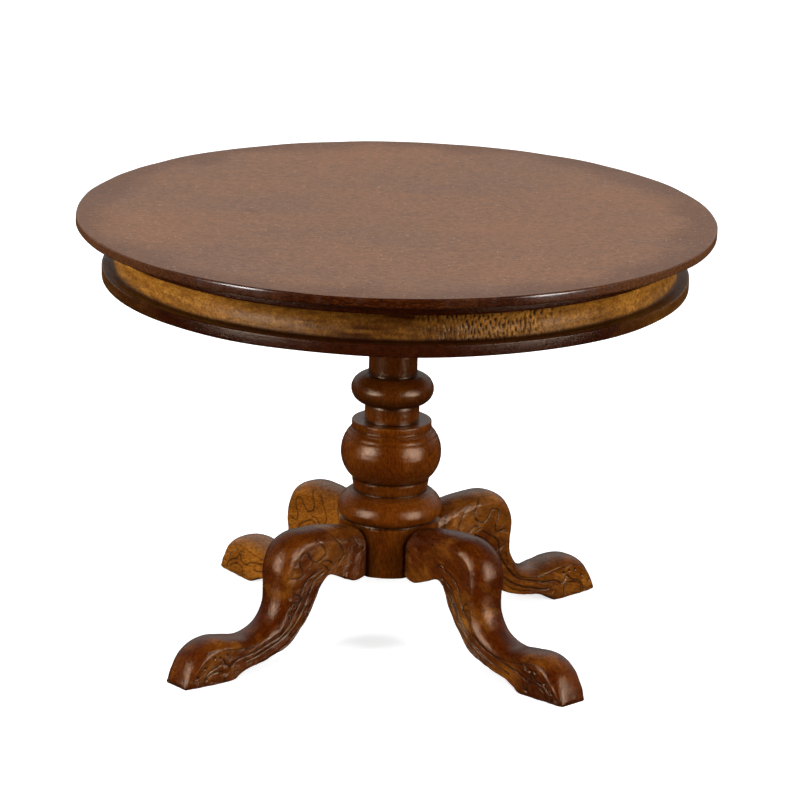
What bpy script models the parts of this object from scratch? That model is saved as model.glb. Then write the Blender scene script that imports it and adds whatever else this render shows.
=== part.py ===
"""Miniature round pedestal dining table, 1:12 scale, for a dolls' house.

A round top board lies on a moulded apron ring. Inside the ring a bearer block, glued under the board,
takes the tenon of a turned column. Four cabriole legs are dowelled to flats on the column's hub.

The origin is on the floor under the middle of the top, +Z is up, and the four legs stand on the diagonals.
Run it with: blender --background --python part.py
"""

import math

import bmesh
import bpy
from mathutils import Matrix, Vector

MM = 0.001

# Overall sizes
TABLE_HEIGHT = 74.6 * MM
TOP_RADIUS = 54.0 * MM
LEG_LENGTH = 38.1 * MM  # from the hub's flat out to the tip of the toe

# Clearance left between pieces that are glued together
GLUE_LINE = 0.1 * MM

# Top board
TOP_THICKNESS = 1.7 * MM
TOP_ARRIS = 0.3 * MM  # rounding of the board's two edges

# Apron ring: a band at the top and at the bottom, with a hollow moulding between them
TOP_OVERHANG = 4.4 * MM  # how far the top reaches past the ring
APRON_HEIGHT = 9.1 * MM
APRON_WALL = 6.0 * MM
BAND_HEIGHT = 2.1 * MM
BAND_ARRIS = 0.35 * MM
COVE_DEPTH = 2.8 * MM
LEDGE_WIDTH = 1.2 * MM  # flat left on each band beside the hollow

# Bearer block under the board
BLOCK_SIDE = 30.0 * MM
BLOCK_THICKNESS = 6.0 * MM
BLOCK_CHAMFER = 1.0 * MM

# Turned column, from the hub up; each height is that feature's own
HUB_BOTTOM = 12.8 * MM
HUB_HEIGHT = 8.8 * MM
HUB_RADIUS = 8.5 * MM
QUIRK_DEPTH = 0.5 * MM
QUIRK_HEIGHT = 0.3 * MM
BULB_HEIGHT = 4.9 * MM
BULB_RADIUS = 8.95 * MM
WAIST_HEIGHT = 2.3 * MM
WAIST_RADIUS = 6.3 * MM
WAIST_LIP = 0.35 * MM  # how far the waist widens up to the ball
BALL_HEIGHT = 8.7 * MM
BALL_RADIUS = 8.6 * MM
SHOULDER_HEIGHT = 1.3 * MM
SHOULDER_RADIUS = 6.8 * MM
LOWER_NECK_HEIGHT = 3.1 * MM
LOWER_NECK_RADIUS = 4.65 * MM
RING_HEIGHT = 5.0 * MM
RING_RADIUS = 7.05 * MM
UPPER_NECK_RADIUS = 4.15 * MM
COLLAR_HEIGHT = 2.4 * MM
COLLAR_RADIUS = 6.2 * MM
FLARE_HEIGHT = 2.4 * MM  # the hollow that widens the upper neck into the collar
TENON_RADIUS = 3.0 * MM

# Legs
LEG_WIDTH = 7.0 * MM
LEG_CROWN = 2.4 * MM  # depth of the rounding on the outer edge
LEG_SOFTENING = 0.4 * MM  # chamfer along the inner edge
SEAT_MARGIN = 0.3 * MM  # flat that shows on each side of a leg
ROOT_REVEAL = 0.35 * MM  # how far the leg's root stops short of the hub's two ends

# Each leg's direction in degrees from +X. They are glued on by hand, so each is only near its diagonal.
LEG_DIRECTIONS = {"back_right": 44.5, "back_left": 132.3, "front_left": 224.8, "front_right": 317.8}

# Dowels between the legs and the hub
DOWEL_RADIUS = 1.0 * MM
DOWEL_LENGTH = 7.0 * MM
HOLE_EXTRA = 0.1 * MM  # how much wider and deeper a hole is than its pin

# Fineness of the round shapes
TURNING_STEPS = 48
BOARD_STEPS = 72
DOWEL_STEPS = 16
STEPS_BETWEEN_STATIONS = 2
CROWN_STEPS = 6
MERGE_DISTANCE = 0.001 * MM

# Sizes that follow from those above
BOARD_UNDERSIDE = TABLE_HEIGHT - TOP_THICKNESS
APRON_RADIUS = TOP_RADIUS - TOP_OVERHANG
APRON_TOP = BOARD_UNDERSIDE - GLUE_LINE
APRON_BOTTOM = APRON_TOP - APRON_HEIGHT
BLOCK_TOP = BOARD_UNDERSIDE - GLUE_LINE
BLOCK_BOTTOM = BLOCK_TOP - BLOCK_THICKNESS
HUB_TOP = HUB_BOTTOM + HUB_HEIGHT
SEAT_DISTANCE = math.sqrt(HUB_RADIUS**2 - (LEG_WIDTH / 2 + SEAT_MARGIN) ** 2)
ROOT_DISTANCE = SEAT_DISTANCE + GLUE_LINE
ROOT_BOTTOM = HUB_BOTTOM + ROOT_REVEAL
ROOT_TOP = HUB_TOP - QUIRK_HEIGHT - ROOT_REVEAL
DOWEL_Z = (ROOT_BOTTOM + ROOT_TOP) / 2

# Cross-sections of a leg, from its root to its toe. Each row holds a point on the leg's outer edge, a point
# on its inner edge and the leg's width there. A point is (how far out from the hub's flat, how high above the
# floor), as shares of LEG_LENGTH and of the root's top. A width is a share of LEG_WIDTH.
LEG_STATIONS = (
    ((0.000, 1.000), (0.000, ROOT_BOTTOM / ROOT_TOP), 1.00),
    ((0.055, 1.031), (0.060, 0.601), 1.00),
    ((0.155, 1.064), (0.138, 0.649), 1.00),
    ((0.272, 1.079), (0.204, 0.697), 1.00),
    ((0.367, 1.064), (0.236, 0.673), 1.00),
    ((0.445, 0.983), (0.262, 0.616), 1.00),
    ((0.487, 0.831), (0.285, 0.525), 1.00),
    ((0.484, 0.659), (0.319, 0.415), 1.00),
    ((0.492, 0.511), (0.361, 0.315), 0.98),
    ((0.542, 0.372), (0.429, 0.186), 0.96),
    ((0.632, 0.305), (0.547, 0.110), 0.95),
    ((0.720, 0.325), (0.649, 0.076), 0.97),
    ((0.806, 0.344), (0.705, 0.038), 0.98),
    ((0.880, 0.325), (0.745, 0.000), 0.98),
    ((0.942, 0.258), (0.848, 0.000), 0.95),
    ((0.980, 0.153), (0.955, 0.000), 0.88),
    ((1.000, 0.043), (0.995, 0.000), 0.74),
)


def clear_scene():
    for obj in list(bpy.data.objects):
        bpy.data.objects.remove(obj)


def wood(name, colour, roughness):
    """A plain wood finish; colour is linear RGB."""
    material = bpy.data.materials.new(name)
    material.use_nodes = True
    shader = material.node_tree.nodes["Principled BSDF"]
    shader.inputs["Base Color"].default_value = (*colour, 1.0)
    shader.inputs["Roughness"].default_value = roughness
    shader.inputs["Metallic"].default_value = 0.0
    return material


def object_from(name, bm, material):
    """Turns a finished bmesh into a named object with outward normals and smooth curved faces."""
    bmesh.ops.recalc_face_normals(bm, faces=bm.faces)
    mesh = bpy.data.meshes.new(name)
    bm.to_mesh(mesh)
    bm.free()
    mesh.shade_smooth()
    mesh.set_sharp_from_angle(angle=math.radians(35))
    if material:
        mesh.materials.append(material)
    obj = bpy.data.objects.new(name, mesh)
    bpy.context.scene.collection.objects.link(obj)
    return obj


def turned(name, profile, steps, material=None, closed=False):
    """Spins a profile of (radius, height) points about Z. A closed profile makes a ring."""
    bm = bmesh.new()
    verts = [bm.verts.new((radius, 0.0, height)) for radius, height in profile]
    pairs = list(zip(verts, verts[1:]))
    if closed:
        pairs.append((verts[-1], verts[0]))
    edges = [bm.edges.new(pair) for pair in pairs]
    bmesh.ops.spin(
        bm, geom=verts + edges, cent=(0, 0, 0), axis=(0, 0, 1), angle=math.tau, steps=steps, use_merge=True
    )
    bmesh.ops.remove_doubles(bm, verts=bm.verts, dist=MERGE_DISTANCE)
    return object_from(name, bm, material)


def box(name, size, centre, material=None):
    bm = bmesh.new()
    matrix = Matrix.Translation(centre) @ Matrix.Diagonal((*size, 1.0))
    bmesh.ops.create_cube(bm, size=1.0, matrix=matrix)
    return object_from(name, bm, material)


def cut(target, cutter):
    """Takes the cutter's shape out of the target and keeps the cutter as a hidden helper."""
    cutter.hide_render = True
    cutter.display_type = "WIRE"
    modifier = target.modifiers.new(cutter.name, "BOOLEAN")
    modifier.operation = "DIFFERENCE"
    modifier.solver = "EXACT"
    modifier.object = cutter


def ellipse_arc(centre, radii, start, end, steps):
    """Points (radius, height) along part of an ellipse, from the start angle to the end angle in degrees."""
    angles = [math.radians(start + (end - start) * i / steps) for i in range(steps + 1)]
    return [(centre[0] + radii[0] * math.cos(a), centre[1] + radii[1] * math.sin(a)) for a in angles]


def swelling(bottom, top, widest, radius, sweep, steps):
    """A turned swelling from bottom to top, each a (radius, height), that is widest at one height.

    Each half is an arc through the sweep angle in degrees: 90 gives a full round, and less a flatter one.
    """
    angles = [math.radians(sweep) * i / steps for i in range(steps + 1)]
    rises = [math.sin(a) / math.sin(angles[-1]) for a in angles]
    falls = [(1 - math.cos(a)) / (1 - math.cos(angles[-1])) for a in angles]

    def half(end):
        depth, length = radius - end[0], end[1] - widest
        return [(radius - depth * fall, widest + length * rise) for rise, fall in zip(rises, falls)]

    return half(bottom)[:0:-1] + half(top)


def top_board(material):
    upper, lower = TABLE_HEIGHT, BOARD_UNDERSIDE
    rim = TOP_RADIUS - TOP_ARRIS
    profile = [(0.0, lower), *ellipse_arc((rim, lower + TOP_ARRIS), (TOP_ARRIS, TOP_ARRIS), -90, 0, 2)]
    profile += [*ellipse_arc((rim, upper - TOP_ARRIS), (TOP_ARRIS, TOP_ARRIS), 0, 90, 2), (0.0, upper)]
    return turned("top_board", profile, BOARD_STEPS, material)


def apron_ring(material):
    """Two square bands with a hollow moulding between them; each band leaves a flat ledge beside the hollow."""
    inner = APRON_RADIUS - APRON_WALL
    rim = APRON_RADIUS - BAND_ARRIS
    ledge = APRON_RADIUS - LEDGE_WIDTH
    lower_ledge = APRON_BOTTOM + BAND_HEIGHT
    upper_ledge = APRON_TOP - BAND_HEIGHT
    arris = (BAND_ARRIS, BAND_ARRIS)
    cove_middle = (lower_ledge + upper_ledge) / 2
    hollow = (COVE_DEPTH - LEDGE_WIDTH, (upper_ledge - lower_ledge) / 2)
    profile = [(inner, APRON_TOP), (inner, APRON_BOTTOM)]
    profile += ellipse_arc((rim, APRON_BOTTOM + BAND_ARRIS), arris, -90, 0, 2)
    profile += ellipse_arc((rim, lower_ledge - BAND_ARRIS), arris, 0, 90, 2)
    profile += ellipse_arc((ledge, cove_middle), hollow, -90, -270, 8)
    profile += ellipse_arc((rim, upper_ledge + BAND_ARRIS), arris, -90, 0, 2)
    profile += [(APRON_RADIUS, APRON_TOP)]
    return turned("apron_ring", profile, BOARD_STEPS, material, closed=True)


def bearer_block(material):
    """A square block with a hole for the column's tenon and its lower edges chamfered."""
    low = BLOCK_SIDE / 2 - BLOCK_CHAMFER
    high = BLOCK_SIDE / 2
    levels = ((low, BLOCK_BOTTOM), (high, BLOCK_BOTTOM + BLOCK_CHAMFER), (high, BLOCK_TOP))
    bm = bmesh.new()
    corners = ((1, 1), (-1, 1), (-1, -1), (1, -1))
    squares = [[bm.verts.new((x * half, y * half, z)) for x, y in corners] for half, z in levels]
    edges = [[bm.edges.new((square[i - 1], square[i])) for i in range(4)] for square in squares]
    for near, far in zip(edges, edges[1:]):
        bmesh.ops.bridge_loops(bm, edges=near + far)
    bm.faces.new(squares[0])
    bm.faces.new(squares[-1])
    block = object_from("bearer_block", bm, material)
    hole_radius = TENON_RADIUS + HOLE_EXTRA
    below, above = BLOCK_BOTTOM - BLOCK_THICKNESS, BLOCK_TOP + BLOCK_THICKNESS
    profile = [(0.0, below), (hole_radius, below), (hole_radius, above), (0.0, above)]
    cut(block, turned("tenon_hole", profile, TURNING_STEPS))
    return block


def column_profile():
    """The column's outline from the middle of the hub's underside up to the top of the tenon."""
    quirk_bottom = HUB_TOP - QUIRK_HEIGHT
    bulb_top = HUB_TOP + BULB_HEIGHT
    waist_top = bulb_top + WAIST_HEIGHT
    ball_top = waist_top + BALL_HEIGHT
    shoulder_top = ball_top + SHOULDER_HEIGHT
    ring_bottom = shoulder_top + LOWER_NECK_HEIGHT
    ring_top = ring_bottom + RING_HEIGHT
    collar_top = BLOCK_BOTTOM - GLUE_LINE
    collar_bottom = collar_top - COLLAR_HEIGHT
    quirk_radius = HUB_RADIUS - QUIRK_DEPTH
    lip_radius = WAIST_RADIUS + WAIST_LIP

    hub = [(0.0, HUB_BOTTOM), (HUB_RADIUS, HUB_BOTTOM), (HUB_RADIUS, quirk_bottom)]
    quirk = [(quirk_radius, quirk_bottom)]
    bulb_middle = HUB_TOP + 0.35 * BULB_HEIGHT
    bulb = swelling((quirk_radius, HUB_TOP), (WAIST_RADIUS, bulb_top), bulb_middle, BULB_RADIUS, 65, 4)
    ball_middle = (waist_top + ball_top) / 2
    ball = swelling((lip_radius, waist_top), (SHOULDER_RADIUS, ball_top), ball_middle, BALL_RADIUS, 50, 4)
    shoulder = [(SHOULDER_RADIUS, shoulder_top)]
    ring_ends = (LOWER_NECK_RADIUS, ring_bottom), (UPPER_NECK_RADIUS, ring_top)
    ring = swelling(*ring_ends, (ring_bottom + ring_top) / 2, RING_RADIUS, 90, 5)
    flare = (COLLAR_RADIUS - UPPER_NECK_RADIUS, FLARE_HEIGHT)
    flare = ellipse_arc((COLLAR_RADIUS, collar_bottom - FLARE_HEIGHT), flare, 180, 90, 4)
    collar = [(COLLAR_RADIUS, collar_top)]
    tenon = [(TENON_RADIUS, collar_top), (TENON_RADIUS, BLOCK_TOP), (0.0, BLOCK_TOP)]
    neck_foot = [(LOWER_NECK_RADIUS, shoulder_top)]
    return hub + quirk + bulb + ball + shoulder + neck_foot + ring + flare + collar + tenon


def leg_frame(place):
    """The turn about Z that carries a leg modelled along +X to its own direction."""
    return Matrix.Rotation(math.radians(LEG_DIRECTIONS[place]), 4, "Z")


def radial_pin(name, ends, radius, place, material=None):
    """A round pin along a leg's direction at the dowels' height; its ends are distances from the axis."""
    bm = bmesh.new()
    start, end = ends
    middle = Vector(((start + end) / 2, 0.0, DOWEL_Z))
    matrix = leg_frame(place) @ Matrix.Translation(middle) @ Matrix.Rotation(math.pi / 2, 4, "Y")
    size = {"radius1": radius, "radius2": radius, "depth": end - start}
    bmesh.ops.create_cone(bm, cap_ends=True, segments=DOWEL_STEPS, matrix=matrix, **size)
    return object_from(name, bm, material)


def dowel_span(extra=0.0):
    """The two ends of a dowel, or of its hole, out from the column's axis."""
    joint = SEAT_DISTANCE + GLUE_LINE / 2
    return joint - DOWEL_LENGTH / 2 - extra, joint + DOWEL_LENGTH / 2 + extra


def dowel_hole(name, place):
    return radial_pin(name, dowel_span(HOLE_EXTRA), DOWEL_RADIUS + HOLE_EXTRA, place)


def pedestal_column(material):
    """The turned column, with a flat and a dowel hole on its hub for each leg."""
    column = turned("pedestal_column", column_profile(), TURNING_STEPS, material)
    flat_top = HUB_TOP - QUIRK_HEIGHT / 2
    flat_bottom = HUB_BOTTOM - HUB_HEIGHT
    size = (HUB_RADIUS, 2 * HUB_RADIUS, flat_top - flat_bottom)
    centre = Vector((SEAT_DISTANCE + HUB_RADIUS / 2, 0.0, (flat_top + flat_bottom) / 2))
    for place in LEG_DIRECTIONS:
        cutter = box(f"flat_{place}", size, centre)
        cutter.data.transform(leg_frame(place))
        cut(column, cutter)
        cut(column, dowel_hole(f"hub_hole_{place}", place))
    return column


def smooth_between(rows, steps):
    """Catmull-Rom points through rows of numbers, so that the leg flows from station to station."""
    found = []
    for i in range(len(rows) - 1):
        before, start, end, after = (rows[max(0, min(len(rows) - 1, i + k))] for k in (-1, 0, 1, 2))
        for step in range(steps):
            t = step / steps
            found.append(
                [
                    b + 0.5 * t * (c - a + t * (2 * a - 5 * b + 4 * c - d + t * (3 * (b - c) + d - a)))
                    for a, b, c, d in zip(before, start, end, after)
                ]
            )
    return found + [list(rows[-1])]


def leg_section(outer, inner, width):
    """The loop of points round one cross-section: flat sides, a rounded crown and a softened inner edge."""
    across = outer - inner
    depth = across.length
    crown = min(LEG_CROWN, 0.6 * depth)
    soft = min(LEG_SOFTENING, 0.2 * depth)
    half = width / 2
    side = [(0.0, half - soft), (soft, half)]
    for i in range(CROWN_STEPS // 2):
        angle = math.pi / 2 * i / (CROWN_STEPS // 2)
        side.append((depth - crown + crown * math.sin(angle), half * math.cos(angle)))
    loop = side + [(depth, 0.0)] + [(along, -sideways) for along, sideways in reversed(side)]
    points = [inner + across * (along / depth) for along, _ in loop]
    return [Vector((p.x, sideways, max(p.y, 0.0))) for p, (_, sideways) in zip(points, loop)]


def leg_sections():
    """All the cross-sections of a leg that stands along +X."""
    rows = [(*outer, *inner, width) for outer, inner, width in LEG_STATIONS]
    for outer_out, outer_up, inner_out, inner_up, width in smooth_between(rows, STEPS_BETWEEN_STATIONS):
        outer = Vector((ROOT_DISTANCE + outer_out * LEG_LENGTH, outer_up * ROOT_TOP))
        inner = Vector((ROOT_DISTANCE + inner_out * LEG_LENGTH, inner_up * ROOT_TOP))
        yield leg_section(outer, inner, width * LEG_WIDTH)


def cabriole_leg(place, material):
    """Lofts one leg through its cross-sections and bores it for its dowel."""
    bm = bmesh.new()
    loops = [[bm.verts.new(point) for point in section] for section in leg_sections()]
    for near, far in zip(loops, loops[1:]):
        for i in range(len(near)):
            bm.faces.new((near[i - 1], near[i], far[i], far[i - 1]))
    bm.faces.new(loops[0])
    bm.faces.new(loops[-1])
    bmesh.ops.transform(bm, matrix=leg_frame(place), verts=bm.verts)
    leg = object_from(f"leg_{place}", bm, material)
    cut(leg, dowel_hole(f"leg_hole_{place}", place))
    return leg


def leg_dowel(place, material):
    return radial_pin(f"leg_dowel_{place}", dowel_span(), DOWEL_RADIUS, place, material)


def build():
    clear_scene()
    top_finish = wood("top_finish", (0.21, 0.105, 0.062), 0.45)
    apron_finish = wood("apron_finish", (0.20, 0.085, 0.022), 0.4)
    column_finish = wood("column_finish", (0.16, 0.055, 0.014), 0.3)
    leg_finish = wood("leg_finish", (0.17, 0.058, 0.014), 0.3)
    bare_wood = wood("bare_wood", (0.52, 0.36, 0.21), 0.75)

    top_board(top_finish)
    apron_ring(apron_finish)
    bearer_block(bare_wood)
    pedestal_column(column_finish)
    for place in LEG_DIRECTIONS:
        cabriole_leg(place, leg_finish)
        leg_dowel(place, bare_wood)


build()
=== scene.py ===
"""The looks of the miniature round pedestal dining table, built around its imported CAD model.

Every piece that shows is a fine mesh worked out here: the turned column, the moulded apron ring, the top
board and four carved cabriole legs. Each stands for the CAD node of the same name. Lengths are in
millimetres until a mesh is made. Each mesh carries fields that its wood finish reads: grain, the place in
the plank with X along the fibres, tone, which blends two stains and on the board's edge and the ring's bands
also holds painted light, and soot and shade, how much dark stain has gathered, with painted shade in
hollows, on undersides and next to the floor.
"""

import math

import bpy
import numpy as np
from mathutils import Matrix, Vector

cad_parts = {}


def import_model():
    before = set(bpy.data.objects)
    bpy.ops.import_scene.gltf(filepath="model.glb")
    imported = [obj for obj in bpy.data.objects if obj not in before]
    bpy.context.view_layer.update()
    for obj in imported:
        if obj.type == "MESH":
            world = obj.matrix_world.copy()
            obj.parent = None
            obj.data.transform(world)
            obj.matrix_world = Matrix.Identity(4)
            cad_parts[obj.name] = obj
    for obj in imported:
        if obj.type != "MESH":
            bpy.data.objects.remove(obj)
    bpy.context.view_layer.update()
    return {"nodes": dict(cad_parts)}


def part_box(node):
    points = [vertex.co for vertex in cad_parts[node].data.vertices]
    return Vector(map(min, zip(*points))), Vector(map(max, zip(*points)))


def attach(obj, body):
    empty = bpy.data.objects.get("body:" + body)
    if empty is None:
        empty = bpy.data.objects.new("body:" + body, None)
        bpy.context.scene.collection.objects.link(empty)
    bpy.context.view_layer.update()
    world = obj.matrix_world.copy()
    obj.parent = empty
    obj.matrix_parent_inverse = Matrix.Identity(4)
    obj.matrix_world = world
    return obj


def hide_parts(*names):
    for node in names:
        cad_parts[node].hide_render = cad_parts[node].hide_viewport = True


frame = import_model()

MM = 0.001

# ---------------------------------------------------------------- sizes taken from the frame


def node_box(name):
    low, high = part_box(name)
    return np.array(low) / MM, np.array(high) / MM


BOARD_LOW, BOARD_HIGH = node_box("top_board")
APRON_LOW, APRON_HIGH = node_box("apron_ring")
BLOCK_LOW = node_box("bearer_block")[0]
COLUMN_LOW, COLUMN_HIGH = node_box("pedestal_column")
LEG_PLACES = ("back_right", "back_left", "front_left", "front_right")

# ---------------------------------------------------------------- sizes of the fine shapes

GLUE_LINE = 0.1

TOP_ARRIS = 0.45
TOP_SPACING = 1.2
TOP_STEP = 0.75  # between points round the board, in degrees

APRON_WALL = 6.0
BAND_ARRIS = 0.3
APRON_SPACING = 0.9
APRON_STEP = 0.7  # between points round the ring, in degrees
END_GRAIN_STEP = 0.16  # the same over the end grain
BAND_HEIGHT = 2.1
LEDGE_WIDTH = 1.2
COVE_DEPTH = 2.8
COVE_QUIRK_DEPTH = 0.175  # of the fine line cut along the foot of the hollow
COVE_QUIRK_HEIGHT = 0.25  # of that line above the lower band
COVE_QUIRK_WIDTH = 0.22
END_GRAIN_TURN = -66.0  # where the ring's end grain faces out, in degrees from +X, and again opposite
END_GRAIN_REACH = 18.0  # half the width of each torn patch, in degrees
TEAR_OUT_TURN = 10.0  # where the tool tore deepest, in degrees from the end grain
TEAR_OUT_REACH = 6.0
TEAR_DEPTH = 0.28
DULL_GOLD_TURN = -21.0  # where the hollow is darkest, on its side towards the camera, in degrees from the end grain
DULL_GOLD_REACH = 27.0

LEG_WIDTH = 7.0
LEG_LENGTH = 38.1

HUB_RADIUS = 8.5
HUB_TOP = 21.6
HUB_QUIRK = 0.3  # height of the fine step round the hub's top
HUB_QUIRK_DEPTH = 0.5
SEAT_MARGIN = 0.3  # how much wider than the leg its flat is, on each side
SEAT_DISTANCE = math.sqrt(HUB_RADIUS**2 - (LEG_WIDTH / 2 + SEAT_MARGIN) ** 2)
FLAT_HALF_ANGLE = math.degrees(math.acos(SEAT_DISTANCE / HUB_RADIUS))
BULB_RADIUS = 8.95
BULB_TOP = 26.5
WAIST_RADIUS = 6.3
WAIST_TOP = 28.8
BALL_RADIUS = 8.6
BALL_TOP = 37.5
SHOULDER_RADIUS = 6.8
SHOULDER_TOP = 38.8
LOWER_NECK_RADIUS = 4.65
RING_BOTTOM = 41.9
RING_TOP = 46.9
RING_RADIUS = 7.05
UPPER_NECK_RADIUS = 4.15
COLLAR_HEIGHT = 2.4
COLLAR_RADIUS = 6.2
FLARE_HEIGHT = 2.4
TENON_RADIUS = 3.0
AXIS_GAP = 0.3  # the column's end faces run in to this radius and then to their middle
COLUMN_ARRIS = 0.16
COLUMN_SPACING = 0.26
COLUMN_STEP = 1.6  # the most between points round the column, in degrees

# Fine lines that the turner's tool left on the column: height, depth, half width
TURNED_LINES = (
    (21.7, 0.10, 0.12),
    (26.2, 0.10, 0.14),
    (28.65, 0.16, 0.14),
    (37.0, 0.13, 0.11),
    (36.2, 0.09, 0.11),
    (41.8, 0.10, 0.12),
)

ROOT_DISTANCE = 7.70
ROOT_REVEAL = 0.35  # how far the hub shows below and above a leg's root
ROOT_BOTTOM = COLUMN_LOW[2] + ROOT_REVEAL
ROOT_TOP = HUB_TOP - HUB_QUIRK - ROOT_REVEAL
ROOT_ROUNDING = 0.5
STEPS_BETWEEN_STATIONS = 22
LEG_SOFTENING = 0.35
LEG_GRAIN_SLOPE = -22.0
CROWN_ARRIS = 15.0  # how far the crown turns from the side face at the arris between them, in degrees
CROWN_BOXINESS = 2.3  # 2 is an ellipse, more is flatter in the middle and tighter at the arris

# Cross-sections of a leg from root to toe. Each row holds a point on the outer edge, a point on the inner
# edge, the width, and how far the crown reaches down in millimetres. A point is (how far out from the root,
# how high above the floor), as shares of LEG_LENGTH and ROOT_TOP. A width is a share of LEG_WIDTH. The shares
# repeat those of the CAD model. A separate fitting program gave them and they were then rounded. The crowns
# were chosen.
LEG_STATIONS = (
    ((0.000, 1.000), (0.000, ROOT_BOTTOM / ROOT_TOP), 1.00, 2.6),
    ((0.055, 1.031), (0.060, 0.601), 1.00, 2.5),
    ((0.155, 1.064), (0.138, 0.649), 1.00, 2.3),
    ((0.272, 1.079), (0.204, 0.697), 1.00, 2.0),
    ((0.367, 1.064), (0.236, 0.673), 1.00, 2.0),
    ((0.445, 0.983), (0.262, 0.616), 1.00, 2.2),
    ((0.487, 0.831), (0.285, 0.525), 1.00, 2.5),
    ((0.484, 0.659), (0.319, 0.415), 1.00, 2.7),
    ((0.492, 0.511), (0.361, 0.315), 0.98, 2.5),
    ((0.542, 0.372), (0.429, 0.186), 0.96, 2.0),
    ((0.632, 0.305), (0.547, 0.110), 0.95, 1.6),
    ((0.720, 0.325), (0.649, 0.076), 0.97, 1.4),
    ((0.806, 0.344), (0.705, 0.038), 0.98, 1.4),
    ((0.880, 0.325), (0.745, 0.000), 0.98, 1.5),
    ((0.942, 0.258), (0.848, 0.000), 0.95, 1.6),
    ((0.980, 0.153), (0.955, 0.000), 0.88, 1.5),
    ((1.000, 0.043), (0.995, 0.000), 0.74, 0.8),
)

# Lines cut into both side faces of every leg: points on the line, as (out from the axis, up from the floor)
# in millimetres, strength and half width. A line is cut CARVED_SHARE of its strength deep, and the strength
# also sets how dark it is. A separate program worked out most of these points and the dots'.
CARVED_LINES = {
    "knee_scroll": (
        ((18.5, 22.4), (17.6, 20.8), (16.8, 19.6), (17.2, 18.4), (18.6, 17.8), (19.9, 18.6), (20.8, 19.6),
         (21.8, 19.3), (22.0, 18.0), (21.4, 16.6), (21.8, 15.6), (23.4, 15.6)),
        0.17, 0.13,
    ),
    "knee_hook": (((15.7, 21.7), (14.4, 20.3), (13.4, 18.8), (13.0, 17.7), (13.9, 16.7)), 0.16, 0.12),
    "root_hook": (((10.9, 20.8), (10.0, 19.4), (9.6, 18.1)), 0.13, 0.12),
    "root_dash": (((10.3, 16.4), (11.8, 15.6), (13.0, 15.4)), 0.07, 0.10),
    "knee_tick": (((17.4, 17.2), (16.3, 17.4), (15.0, 16.3)), 0.13, 0.12),
    "knee_lower_tick": (((17.6, 16.9), (16.7, 16.4), (16.0, 15.7)), 0.12, 0.11),
    "outer_flute": (
        ((17.8, 16.6), (20.0, 15.6), (21.3, 14.4), (21.9, 12.6), (22.3, 11.2), (23.4, 9.3), (24.6, 7.6),
         (26.6, 5.9), (29.4, 4.9), (32.8, 4.0), (35.8, 3.6), (37.2, 2.9), (38.3, 3.1), (39.0, 4.3),
         (40.0, 3.1), (41.7, 2.6), (42.9, 1.6), (43.3, 0.4)),
        0.18, 0.14,
    ),
    "inner_flute": (
        ((16.9, 15.7), (19.1, 14.5), (19.9, 13.1), (21.2, 10.4), (22.6, 8.2), (24.8, 6.0), (27.1, 4.6),
         (29.5, 3.6), (32.8, 2.8), (34.3, 2.6)),
        0.18, 0.14,
    ),
    "edge_flute": (
        ((18.2, 13.8), (19.6, 11.4), (21.2, 8.4), (23.6, 5.7), (27.0, 3.6), (31.0, 2.5)),
        0.09, 0.11,
    ),
    "foot_arch": (((42.3, 0.2), (41.7, 1.7), (40.0, 2.4), (38.3, 2.2), (37.9, 1.2), (38.0, 0.2)), 0.16, 0.13),
    "side_arris": (
        ((45.2, 1.0), (44.6, 3.5), (43.4, 5.0), (41.3, 5.8), (38.4, 6.0), (35.0, 5.4), (30.7, 5.3),
         (28.1, 6.0), (26.7, 7.5), (26.4, 8.6)),
        0.07, 0.11,
    ),
    "shin_hook": (((23.3, 12.7), (22.4, 12.1), (22.1, 11.2)), 0.16, 0.13),
    "shin_leaf": (((24.2, 8.6), (24.3, 10.0), (23.7, 11.3), (22.7, 11.0)), 0.10, 0.12),
}
# Side faces whose knee was left plain and whose inner edge has close fine flutes instead
PLAIN_KNEE_LINES = ("knee_scroll", "knee_hook", "root_hook", "root_dash", "knee_lower_tick")
FINE_FLUTE_GAP = 0.45
FINE_FLUTE_COUNT = 3
CARVED_SHARE = 0.45
STAIN_SPREAD = 1.2  # how much wider the dark stain is than the cut it lies in
PUNCHED_DOTS = ((43.8, 2.0), (42.1, 3.4), (40.3, 4.8), (38.8, 4.8), (37.7, 4.9))
DOT_RADIUS = 0.27
DOT_DEPTH = 0.22

# Tone of the stain, how crisply a leg is carved, and whether its right side's knee was left plain
LEG_LOOKS = {
    "back_right": (0.22, 1.0, False),
    "back_left": (1.0, 0.75, False),
    "front_left": (0.0, 1.0, False),
    "front_right": (0.0, 0.9, True),
}
FIRST_LEG_SEED = 100
LEG_SEED_STEP = 20

# ---------------------------------------------------------------- looks of the woods

# What a wood is like unless WOODS says otherwise. streaks and flecks are how much long grain and fine grain
# show, porous is how dark the pores are, tint colours the sheen, dullness is how much rougher the second
# stain is, specks is how much dust shows on the first, and spread is the size of the cloudy patches in
# millimetres.
PLAIN_WOOD = {
    "streaks": 0.35,
    "flecks": 0.35,
    "porous": 0.4,
    "specular": 0.4,
    "tint": (1.0, 1.0, 1.0),
    "dullness": 0.0,
    "specks": 0.0,
    "spread": 8.0,
}
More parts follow.
